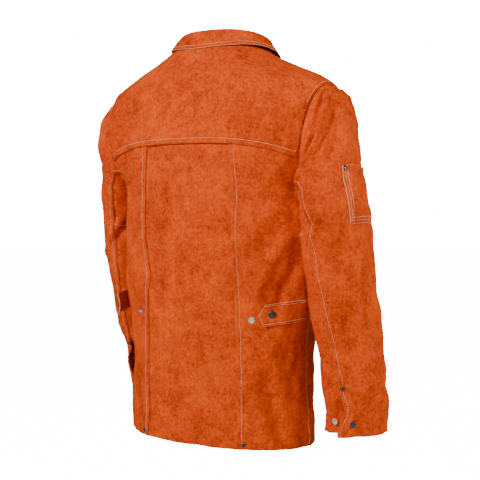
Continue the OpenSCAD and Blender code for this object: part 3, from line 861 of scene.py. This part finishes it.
def across(joint, direction, start, end):
    """Two points in metres, that far in mm from a joint's line along a direction."""
    place = np.array(JOINTS[joint]["pos_m"])
    away = unit(np.array(direction, float))
    return tuple(place + away * start * 0.001), tuple(place + away * end * 0.001)


def sleeve_bend(right):
    """Two points on a line down the upper arm, from 4 mm above the underarm to 100 mm below it."""
    side = 1 if right else -1
    down = np.array([side * math.cos(math.radians(60)), 0, -math.sin(math.radians(60))])
    ring = np.array([side * UNDERARM_X, 0, -UNDERARM_DROP]) * 0.001
    return tuple(ring - down * 0.004), tuple(ring + down * 0.1)


def front_bend(right):
    axis = np.array(JOINTS[("right" if right else "left") + "_front_opens"]["axis"])
    away = np.cross([0, 1, 0], axis)
    flat = np.array([away[0], 0, away[2]])
    reach = (-16, 4) if right else (-14, 14)
    return across(("right" if right else "left") + "_front_opens", flat, *reach)


def join(piece, ties):
    """Ties a piece to its body when it has only one; otherwise it bakes the piece's placement into its mesh.
    """
    if len(ties) == 1:
        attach(piece, ties[0])
    else:
        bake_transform(piece)


def finish_leather(piece, ties, nodes):
    """Ties a leather piece, hides the frame's parts that it replaces, and sews it."""
    join(piece, ties)
    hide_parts(*nodes)
    if SEAMS.get(piece.name):
        rows = stitches(piece.name + "_stitches", SEAMS[piece.name], material("thread"))
        join(rows, ties)
    return piece


# ---- The pieces, one operator each ----
def grid(rows, cols, place):
    """Places over a sheet: place takes the shares across and down and gives its coordinates."""
    down, along = np.meshgrid(np.linspace(0, 1, rows), np.linspace(0, 1, cols), indexing="ij")
    return points(*place(along, down))


def over_armhole(share, most=5.0, start=0.965):
    """The last part of a sheet's width as mm past the armhole's plane, and the rest as 0 to 1."""
    return np.clip(share / start, 0, 1), most * np.clip((share - start) / (1 - start), 0, 1)


def side_name(right):
    return "right" if right else "left"


def settings():
    return bpy.context.scene.welding_jacket


class JacketSettings(bpy.types.PropertyGroup):
    folds: bpy.props.FloatProperty(
        name="Folds", description="Strength of the folds in the leather", default=1.0, min=0.0, max=1.6,
    )
    thread: bpy.props.FloatProperty(
        name="Thread", description="Thickness of the sewing thread in mm", default=0.8, min=0.5, max=1.6,
    )
    stitch_pitch: bpy.props.FloatProperty(
        name="Stitch pitch", description="Distance between stitches in mm", default=4.4, min=3.0, max=7.0,
    )
    light: bpy.props.FloatProperty(
        name="Light", description="Strength of the studio light", default=1.0, min=0.1, max=4.0,
    )


class JACKET_OT_back(bpy.types.Operator):
    """Back panels: a middle panel and two side panels lapped over it"""
    bl_idname = "jacket.back"
    bl_label = "Back panels"

    def execute(self, context):
        def centre(u, w):
            z = mix(yoke_z(BACK_SEAM_X * (2 * u - 1)) + 16, -BODY_LENGTH, w)
            half = back_seam(z) + 4
            return mix(-half, half, u), z, 0

        piece = leather(
            "centre_back_panel.leather", body_surface, grid(170, 68, centre), 0, material("suede"), seed=1,
        )
        finish_leather(
            piece, ["torso"], ["centre_back_panel"],
        )
        for right in (True, False):
            def side(u, w):
                x = mix(BACK_SEAM_X, UNDERARM_X, u)
                z = mix(yoke_z(x) + 16, -BODY_LENGTH, w)
                share, past = over_armhole(u)
                above = ease((z + UNDERARM_DROP + 4) / 12)
                last = np.where(z > -UNDERARM_DROP, armhole_angle(z), 90)
                return mix(back_seam(z) - 3, last, share) + (1 - above) * past * 0.5, z, past * above

            piece = leather(
                side_name(right) + "_side_back_panel.leather",
                lambda p, o, flip=not right: body_surface(p, o, flip),
                grid(170, 54, side), LAYER, material("suede"), sewn=("first", "last"), seed=2 if right else 3,
            )
            nodes = [side_name(right) + "_side_back_panel"]
            finish_leather(
                piece, ["torso"], nodes,
            )
        return {"FINISHED"}


class JACKET_OT_yoke(bpy.types.Operator):
    """Yoke across the back and over both shoulders"""
    bl_idname = "jacket.yoke"
    bl_label = "Yoke"

    def execute(self, context):
        def place(u, w):
            # The columns crowd where the edge climbs along the armholes.
            s = 2 * u - 1
            t = YOKE_END_T * (s + 0.12 * np.sin(2 * np.pi * s))
            edge = yoke_edge(t)
            at_armhole = np.abs(np.abs(body_point(t, edge)[..., 0]) - armhole_x(edge)) < 0.6
            share, past = over_armhole(w, start=0.96)
            return t, mix(-1.0, edge, mix(w, share, at_armhole)), past * at_armhole

        piece = leather(
            "back_yoke.leather", body_surface, grid(64, 620, place), 2 * LAYER, material("suede"),
            slanting=True,
            sewn=("bottom",), inset=9.0, lift=0.9, seed=4,
        )
        finish_leather(
            piece, ["torso"], ["back_yoke"],
        )
        return {"FINISHED"}


class JACKET_OT_fronts(bpy.types.Operator):
    """Both fronts with their facings"""
    bl_idname = "jacket.fronts"
    bl_label = "Fronts"

    def execute(self, context):
        for right in (True, False):
            side = side_name(right)
            low = LOW_FRONT if right else 0.0

            def place(u, w):
                z = mix(-1.0, -BODY_LENGTH, w)
                share = np.clip(z / YOKE_FRONT_Z, 0, 1)
                shoulder = mix(YOKE_FRONT_T, 180 - armhole_angle(YOKE_FRONT_Z), share)
                first = np.where(z > YOKE_FRONT_Z, shoulder - 4, 180 - armhole_angle(z))
                first = np.where(z > -UNDERARM_DROP, first, 86)
                share, past = over_armhole(1 - u, start=0.975)
                above = ease((z + UNDERARM_DROP + 4) / 12) * ease((YOKE_FRONT_Z - z) / 8)
                share = mix(1 - u, share, above)
                return mix(front_angle(-FRONT_LAP, z), first, share), z, past * above

            places = grid(210, 84, place)[:, ::-1]
            near = ease((150 - places[..., 0]) / 34)
            offset = mix(low, 0.3, near) if right else mix(0.0, 0.3, near)
            ties = ["torso", side + "_front", *front_bend(right)]
            surface = lambda p, o, flip=not right: body_surface(p, o, flip)
            piece = leather(
                side + "_front.leather", surface, places, offset, material("suede"),
                sewn=("first", "last"), seed=5 if right else 6,
            )
            nodes = [side + "_front_side", side + "_front_flap"]
            finish_leather(piece, ties, nodes)

            def strip(u, w):
                z = mix(-494.0 if right else -240.0, 2.0 - BODY_LENGTH, w)
                return mix(front_angle(16.5 - FRONT_LAP, z), front_angle(2 - FRONT_LAP, z), u), z, 0

            facing = leather(
                side + "_front_facing.leather", surface, grid(90, 7, strip), low - LAYER,
                material("suede_facing"), seed=7 if right else 8,
            )
            finish_leather(
                facing, ties, [side + "_front_facing"],
            )
        return {"FINISHED"}


# Rows of a collar part: place, out, up, then extra drop and out at the front, out and rise at the sides.
STAND_H, FALL_W = 20, 31
STAND = np.array([
    [0, -1.6, 1, 0, 0, 0, 0],
    [-1, -2.6, 10, 0, 0, -2, 2],
    [-2, -2.2, STAND_H, 4, 0, -5, 5],
], float)
FALL = np.array([
    [0, -0.7, STAND_H + 0.7, 4, 0, -5, 5], [-1, 0.8, STAND_H + 1.8, 4, 0, -5, 5],
    [-2, 4.8, STAND_H + 1, 5, 1, -3, 5], [-3, 9.4, STAND_H - FALL_W * 0.35, 14, 4, 2, 8],
    [-4, 14.6, STAND_H - FALL_W * 0.97, 24, 11, 6, 14],
], float)
TAPE = np.array([[0, -4.9, 3, 0, 0, 0, 0], [-1, -4.9, 9, 0, 0, 0, 0], [-2, -4.9, 15, 0, 0, 0, 0]], float)


def collar_surface(places, offset, rows, wave=0.0):
    """Points of a collar part; places are the angle round the neck and the share down its rows."""
    t, share = places[..., 0], places[..., 1]
    key = -share * (len(rows) - 1)
    front, side = (np.abs(t) / 180) ** 3, sin_d(t) ** 2

    def at(k):
        k = np.clip(k, 1.0 - len(rows), 0)
        out = smooth_at(rows, k, 1) + smooth_at(rows, k, 4) * front + smooth_at(rows, k, 5) * side
        up = smooth_at(rows, k, 2) - smooth_at(rows, k, 3) * front + smooth_at(rows, k, 6) * side
        return points(out, up)

    out_up = at(key)
    along = unit(at(key - 0.05) - at(key + 0.05))
    sign = 1.0 if rows is FALL else -1.0
    stand = offset + wave * share * (noise(t / 24, share * 1.3, 41) + 0.5 * noise(t / 9, share * 2, 42))
    out_up = out_up + stand[..., None] * points(-along[..., 1], along[..., 0]) * sign
    base = body_point(t, 0 * t)
    away = base - np.array([0, 14.0, 0])
    away[..., 2] = 0
    p = base + unit(away) * out_up[..., :1]
    p[..., 2] = neck_z(t) + out_up[..., 1]
    return leaning(p)


class JACKET_OT_collar(bpy.types.Operator):
    """Collar: stand, turned-down fall, neck tape and hanger loop"""
    bl_idname = "jacket.collar"
    bl_label = "Collar"

    def execute(self, context):
        parts = (
            (
                "collar_stand", STAND, 171, 14, "suede_facing", (), 0.0,
                (0.48, 0.021), "stretched", "back_yoke.leather",
            ),
            (
                "collar_fall", FALL, 168, 26, "suede", ("bottom",), 1.1,
                (0.57, 0.042), "folded", "collar_stand.leather",
            ),
            (
                "neck_tape", TAPE, 100, 8, "suede_facing", ("top", "bottom"), 0.0,
                (0.27, 0.012), "stretched", "collar_stand.leather",
            ),
        )
        for name, rows, reach, steps, slot, sewn, wave, flat, held, rests in parts:
            places = grid(steps, 240, lambda u, w: (mix(-reach, reach, u), w))
            piece = leather(
                name + ".leather", lambda p, o, r=rows, v=wave: collar_surface(p, o, r, v), places,
                -0.6, material(slot), sewn=sewn, inset=2.6 if name == "neck_tape" else 6.0,
                lift=0.2, thick=0.6 if name == "neck_tape" else LEATHER, seed=9, raw=1.0,
            )
            finish_leather(piece, ["torso"], [name])

        def loop_surface(p, o):
            r = 28.4 + o
            return points(r * cos_d(p[..., 0]), -53.8 + 6 * p[..., 1], 6 - 0.42 * r * sin_d(p[..., 0]))

        loop = leather(
            "hanger_loop.leather", loop_surface, grid(9, 50, lambda u, w: (mix(2.0, 178.0, u), w)), 0,
            material("suede_facing"), lift=0, seed=10,
        )
        finish_leather(loop, ["torso"], ["hanger_loop"])
        return {"FINISHED"}


ELBOW, VENT = 5.1, 8.65


class JACKET_OT_sleeves(bpy.types.Operator):
    """Both sleeves: a top sleeve lapped over two lengths of under sleeve, open at the cuff vent"""
    bl_idname = "jacket.sleeves"
    bl_label = "Sleeves"

    def execute(self, context):
        for right in (True, False):
            side = side_name(right)
            ties = ["torso", side + "_sleeve", *sleeve_bend(right)]
            surface = lambda p, o, r=right: sleeve_surface(p, o, r)

            def top(u, w):
                v = mix(-0.3, 10.0, w)
                curl = ease((v - VENT) / 0.4) * (7 * sin_d((v - VENT) * 250 - 40) - 1)
                return mix(back_line(v) - 3 + curl, front_line(v) + 3, u), v

            places = grid(190, 96, top)
            q, v = places[..., 0], places[..., 1]
            head = 2.5 * ease((sleeve_point(right, v, q)[..., 2] + 200) / 30)
            dive = ease(v / 0.4)
            flare = 10 * ease((v - VENT - 0.1) / 0.6) * (1 - ease((q - back_line(v) + 3) / 24))
            piece = leather(
                side + "_top_sleeve.leather", surface, places, mix(head - 0.3, LAYER, dive) + flare,
                material("suede"), sewn=("first", "last"), inset=7.0, seed=11 if right else 12,
            )
            finish_leather(
                piece, ties, [side + "_top_sleeve"],
            )

            for part, v0, v1, rows in (("upper", -0.1, ELBOW - 0.02, 96), ("lower", ELBOW - 0.16, 10.0, 96)):
                lower = part == "lower"

                def around(u, w, v0=v0, v1=v1):
                    v = mix(v0, v1, w)
                    return mix(front_line(v) - 5, 360 + back_line(v) + 9, u), v

                places = grid(rows, 56, around)
                q, v = places[..., 0], places[..., 1]
                tucked = ease((v - VENT + 0.3) / 0.5) * ease((q - 318 - back_line(v)) / 22)
                dip = -0.3 - (9 * tucked if lower else LAYER * ease((v - ELBOW + 0.7) / 0.4))
                piece = leather(
                    f"{side}_under_sleeve_{part}.leather", surface, places, dip, material("suede"),
                    sewn=("top",) if lower else (), inset=5.0, seed=13 + rows % 7 + lower,
                )
                nodes = [f"{side}_under_sleeve_{part}"]
                finish_leather(piece, ties, nodes)

            places = grid(9, 120, lambda u, w: (mix(30, 330, u), mix(9.55, 9.98, w)))
            facing = leather(
                side + "_cuff_facing.leather", surface, places, -LAYER - 0.9,
                material("suede_facing"), seed=15,
            )
            finish_leather(
                facing, [side + "_sleeve"], [side + "_cuff_facing"],
            )
        return {"FINISHED"}


def pocket_bulge(u, w):
    return 4 * np.clip(np.sin(np.pi * u), 0, 1) ** 0.6 * (1 - w**3)


POCKET_Q, POCKET_V = (62.0, 124.0), (3.65, 3.65 + 102 / 72)


class JACKET_OT_pockets(bpy.types.Operator):
    """Pocket on the right sleeve and pocket inside the left front"""
    bl_idname = "jacket.pockets"
    bl_label = "Pockets"

    def execute(self, context):
        def on_sleeve(p, o):
            u, w = p[..., 0], p[..., 1]
            q, v = mix(mix(POCKET_Q[0] + 3, POCKET_Q[0] - 1, w), POCKET_Q[1], u), mix(*POCKET_V, w)
            return sleeve_surface(points(q, v), o + pocket_bulge(u, w), True)

        bend = ["torso", "right_sleeve", *sleeve_bend(True)]
        pocket = leather(
            "sleeve_pocket.leather", on_sleeve, grid(44, 34, lambda u, w: (u, w)), 2 * LAYER,
            material("suede"), sewn=("first", "last", "bottom"), inset=5.5, lift=0.1, seed=16, raw=1.0,
            second=5.0,
        )
        finish_leather(
            pocket, bend, ["sleeve_pocket"],
        )

        def inside(p, o):
            u, w = p[..., 0], p[..., 1]
            return body_surface(points(mix(131.0, 155.0, u), -262 - 130 * w, 0), o - pocket_bulge(u, w), True)

        pocket = leather(
            "inside_pocket.leather", inside, grid(40, 30, lambda u, w: (u, w)), -LAYER - 0.6,
            material("suede_facing"), sewn=("first", "last", "bottom"), inset=3.2, lift=0.0, seed=17,
        )
        finish_leather(
            pocket, ["torso"], ["inside_pocket"],
        )
        return {"FINISHED"}


TAB_T, TAB_Z, TAB_W, TAB_L, TAB_CLIP, TAB_RISE = 84.0, -488.0, 38.0, 122.0, 11.0, 5.0
TAB_OFFSET = 2 * LAYER + 0.6
LEFT_TAB_TURN = 20
# Millimetres round the body in a degree, at the waist.
TAB_DEGREE = 3.05


def tab_surface(right):
    """Surface of a waist tab: places are the share along it and the share down it."""
    turn = 0 if right else -LEFT_TAB_TURN
    t, z = np.array(TAB_T), np.array(TAB_Z)
    root = body_point(t, z) + TAB_OFFSET * body_normal(t, z)
    root = root if right else flipped(root)
    spin = np.array([[cos_d(turn), -sin_d(turn), 0], [sin_d(turn), cos_d(turn), 0], [0, 0, 1]])

    def surface(p, o):
        u, w = p[..., 0], p[..., 1]
        t = TAB_T - u * (1 - TAB_CLIP / TAB_L * np.abs(2 * w - 1) ** 1.5) * TAB_L / TAB_DEGREE
        z = TAB_Z + TAB_W * (0.5 - w) + TAB_RISE * (1 - 2 * u)
        curl = 2.2 * ease((u - 0.75) / 0.25) * (2 * w - 1) ** 2 + 0.6 * noise(u * 4, w * 1.3, 51)
        flat = body_surface(points(t, z, 0), o + TAB_OFFSET + curl * ease(u / 0.3), not right)
        return (flat - root) @ spin.T + root

    return surface


class JACKET_OT_tabs(bpy.types.Operator):
    """Waist tabs, sewn near the side seams and reaching toward the back"""
    bl_idname = "jacket.tabs"
    bl_label = "Waist tabs"

    def execute(self, context):
        for right in (True, False):
            side = side_name(right)
            surface = tab_surface(right)
            start = surface(np.array([[[0.02, 0.5]]]), np.array([[0.0]]))[0, 0] * 0.001
            end = surface(np.array([[[0.16, 0.5]]]), np.array([[0.0]]))[0, 0] * 0.001
            piece = leather(
                side + "_waist_tab.leather", surface, grid(20, 60, lambda u, w: (u, w)), 0,
                material("suede"), sewn=("top", "bottom"), inset=4.0, lift=0.25,
                seed=18 if right else 19, raw=1.0,
            )
            ties = ["torso", side + "_tab", tuple(start), tuple(end)]
            nodes = [side + "_waist_tab"]
            finish_leather(piece, ties, nodes)
            cap = set_on(
                side + "_tab_cap.turned", cap_model(), [spot(surface, (0.79, 0.5), LEATHER)],
            )
            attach(cap, side + "_tab")
            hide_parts(side + "_tab_cap")
        return {"FINISHED"}


MODELS = {}


def model(name, rings, slot):
    """A turned piece to copy, made once and kept off the scene."""
    if name not in MODELS:
        made = turned_piece(name, rings, material(slot))
        for holder in list(made.users_collection):
            holder.objects.unlink(made)
        MODELS[name] = made
    return MODELS[name]


def cap_model():
    return model("cap_model", CAP_RINGS, "black_cap")


class JACKET_OT_fastenings(bpy.types.Operator):
    """Press studs and rivets of the body, fronts, cuffs, pockets and hem"""
    bl_idname = "jacket.fastenings"
    bl_label = "Fastenings"

    def execute(self, context):
        stud = model("stud_model", STUD_RINGS, "nickel_stud")
        rivet = model("rivet_model", RIVET_RINGS, "black_cap")
        heights = [-92.0] + [-106.0 - 110.0 * i for i in range(1, 6)]

        def left_front(p, o):
            return body_surface(p, o, True)

        def front(z, offset, surface=left_front):
            return spot(surface, (180.0, z, 0.0), offset)

        groups = [
            ("top_snap_caps", cap_model(), "black_cap", ["torso"], [front(z, LEATHER) for z in heights[:2]]),
            (
                "front_snap_caps", cap_model(), "black_cap", ["left_front"],
                [front(z, LEATHER) for z in heights[2:]],
            ),
            (
                "chest_snap_studs", stud, "nickel_stud", ["torso"],
                [front(z, LOW_FRONT + LEATHER, body_surface) for z in heights[:4]],
            ),
            (
                "flap_snap_studs", stud, "nickel_stud", ["right_front"],
                [front(z, LOW_FRONT + LEATHER, body_surface) for z in heights[4:]],
            ),
            (
                "hem_rivets", rivet, "black_cap", ["torso"],
                [
                    spot(lambda p, o, f=flip: body_surface(p, o, f),
                         (float(back_seam(-729.0)) + 1, -729.0, 0.0), LAYER + LEATHER)
                    for flip in (False, True)
                ],
            ),
            (
                "inside_pocket_rivets", rivet, "black_cap", ["torso"],
                [
                    (p, -n) for p, n in
                    (spot(left_front, (t, -268.0, 0.0), -0.4) for t in (127.5, 158.5))
                ],
            ),
            (
                "sleeve_pocket_rivets", rivet, "black_cap", ["torso", "right_sleeve", *sleeve_bend(True)],
                [
                    spot(
                        lambda p, o: sleeve_surface(p, o, True), (q, POCKET_V[0] + 0.06),
                        2 * LAYER + LEATHER + 2,
                    )
                    for q in (POCKET_Q[0] + 7, POCKET_Q[1] - 4)
                ],
            ),
        ]
        for right in (True, False):
            side = side_name(right)

            def arm(p, o, r=right):
                return sleeve_surface(p, o, r)

            def body(p, o, flip=not right):
                return body_surface(p, o, flip)

            cuff = [side + "_sleeve"]
            v, line = 9.62, float(back_line(10.0))
            groups += [
                (
                    side + "_cuff_cap", cap_model(), "black_cap", cuff,
                    [spot(arm, (line + 12, v), LAYER + LEATHER + 2.5)],
                ),
                (side + "_cuff_stud", stud, "nickel_stud", cuff, [spot(arm, (line - 24, v), LEATHER - 0.2)]),
                (
                    side + "_vent_rivet", rivet, "black_cap", cuff,
                    [spot(arm, (float(back_line(9.0)) + 1, VENT), LAYER + LEATHER)],
                ),
                (
                    side + "_waist_studs", stud, "nickel_stud", ["torso"],
                    [spot(body, (TAB_T - 1.13 * TAB_L / TAB_DEGREE, TAB_Z - 13, 0.0), LAYER + LEATHER)],
                ),
            ]
        for node, shape, slot, ties, spots in groups:
            piece = set_on(node + ".turned", shape, spots)
            join(piece, ties)
            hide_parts(node)
        for made in MODELS.values():
            bpy.data.objects.remove(made)
        MODELS.clear()
        return {"FINISHED"}


# ---- Stage ----
VIEW_AZIMUTH, VIEW_ELEVATION = 34.0, 3.1
VIEW_DISTANCE = 2.25
# The middle of the view, in metres: this far to the jacket's right, as the camera sees it.
TARGET_SIDE, TARGET_Z = 0.036, -0.366
TARGET = Vector((
    TARGET_SIDE * math.cos(math.radians(VIEW_AZIMUTH)),
    TARGET_SIDE * math.sin(math.radians(VIEW_AZIMUTH)),
    TARGET_Z,
))
LENS, SENSOR = 88.6, 36
FLOOR_Z, FLOOR_RADIUS = -1.25, 14


def direction(azimuth, elevation):
    a, e = math.radians(azimuth), math.radians(elevation)
    return Vector((math.sin(a) * math.cos(e), -math.cos(a) * math.cos(e), math.sin(e)))


def aim(thing, place, target):
    thing.location = place
    thing.rotation_euler = (target - place).to_track_quat("-Z", "Y").to_euler()


class JACKET_OT_stage(bpy.types.Operator):
    """Floor, lights and camera"""
    bl_idname = "jacket.stage"
    bl_label = "Stage"

    def execute(self, context):
        scene = context.scene
        bpy.ops.object.select_all(action="DESELECT")
        bpy.ops.mesh.primitive_circle_add(
            vertices=96, radius=FLOOR_RADIUS, fill_type="NGON", location=(0, 0, 0),
        )
        floor = context.object
        floor.name = "floor"
        floor.data.transform(Matrix.Translation((0, 0, FLOOR_Z)))
        floor.data.materials.append(material("floor"))

        world = bpy.data.worlds.new("studio")
        scene.world = world
        world.use_nodes = True
        nodes, links = world.node_tree.nodes, world.node_tree.links
        sky = nodes["Background"]
        sky.inputs["Color"].default_value = (1.0, 1.0, 1.0, 1.0)
        path, level = nodes.new("ShaderNodeLightPath"), nodes.new("ShaderNodeMapRange")
        level.inputs["To Min"].default_value = 0.03 * settings().light
        level.inputs["To Max"].default_value = 16.0
        links.new(path.outputs["Is Camera Ray"], level.inputs["Value"])
        links.new(level.outputs["Result"], sky.inputs["Strength"])
        # Name, azimuth and elevation in degrees, distance and size in metres, power in watts.
        lamps = (
            ("left_key", VIEW_AZIMUTH - 44, 32, 2.6, 0.6, 94),
            ("right_key", VIEW_AZIMUTH + 66, 18, 2.6, 0.6, 62),
            ("over", VIEW_AZIMUTH + 4, 12, 2.8, 0.8, 13),
        )
        for name, azimuth, elevation, distance, size, power in lamps:
            lamp = bpy.data.lights.new(name, "AREA")
            lamp.shape = "DISK"
            lamp.size = size
            lamp.energy = power * settings().light
            holder = bpy.data.objects.new(name, lamp)
            scene.collection.objects.link(holder)
            aim(holder, TARGET + direction(azimuth, elevation) * distance, TARGET)

        lens = bpy.data.cameras.new("view")
        lens.sensor_width = SENSOR
        lens.lens = LENS
        camera = bpy.data.objects.new("view", lens)
        scene.collection.objects.link(camera)
        aim(camera, TARGET + direction(VIEW_AZIMUTH, VIEW_ELEVATION) * VIEW_DISTANCE, TARGET)
        scene.camera = camera
        return {"FINISHED"}


class JACKET_PT_panel(bpy.types.Panel):
    """The jacket's sizes and its pieces"""
    bl_label = "Welding jacket"
    bl_idname = "JACKET_PT_panel"
    bl_space_type = "VIEW_3D"
    bl_region_type = "UI"
    bl_category = "Jacket"

    def draw(self, context):
        for name in JacketSettings.__annotations__:
            self.layout.prop(context.scene.welding_jacket, name)
        for operator in OPERATORS:
            self.layout.operator(operator.bl_idname)


OPERATORS = (
    JACKET_OT_back, JACKET_OT_yoke, JACKET_OT_fronts, JACKET_OT_collar, JACKET_OT_sleeves,
    JACKET_OT_pockets, JACKET_OT_tabs, JACKET_OT_fastenings, JACKET_OT_stage,
)
CLASSES = (JacketSettings, *OPERATORS, JACKET_PT_panel)


def register():
    for cls in CLASSES:
        bpy.utils.register_class(cls)
    bpy.types.Scene.welding_jacket = bpy.props.PointerProperty(type=JacketSettings)


def unregister():
    del bpy.types.Scene.welding_jacket
    for cls in reversed(CLASSES):
        bpy.utils.unregister_class(cls)


def main():
    register()
    for operator in OPERATORS:
        group, name = operator.bl_idname.split(".")
        getattr(getattr(bpy.ops, group), name)()


if __name__ == "__main__":
    main()
